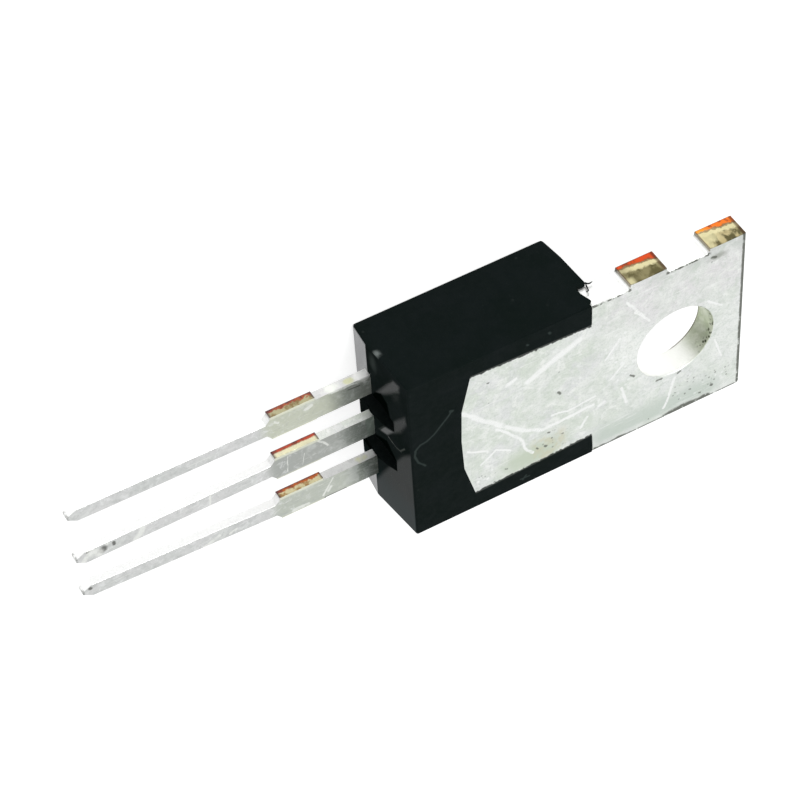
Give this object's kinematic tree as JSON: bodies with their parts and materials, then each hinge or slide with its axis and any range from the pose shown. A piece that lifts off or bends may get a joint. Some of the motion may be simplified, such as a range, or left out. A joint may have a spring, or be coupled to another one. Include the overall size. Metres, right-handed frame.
{
  "type": "rf power mosfet",
  "caption": "Radio-frequency power transistor in a black moulded body with a bare metal mounting face, a drilled cooling tab and a row of straight tinned leads.",
  "frame": {"origin": "centre of the mounting hole, level with the metal mounting face", "axes": "+X along the part from the leads to the tab's free end, +Y across it towards the tie bar stubs, +Z out of the metal mounting face; the part lies on its plastic front"},
  "size_m": [0.0297, 0.0094, 0.0042],
  "materials": {
    "resin": "black epoxy moulding compound, semi-matt",
    "tin_plate": "matt tin plate over copper, scratched, copper bare where sheared",
    "solder": "dull solder",
    "silicon": "polished silicon",
    "wire": "drawn aluminium"
  },
  "bodies": {
    "root": {"moulding": "resin", "header": "tin_plate", "gate_lead": "tin_plate", "drain_lead": "tin_plate", "die_solder": "solder", "die": "silicon", "gate_wire_1": "wire", "gate_wire_2": "wire", "drain_wire_1": "wire", "drain_wire_2": "wire", "drain_wire_3": "wire"}
  },
  "joints": []
}
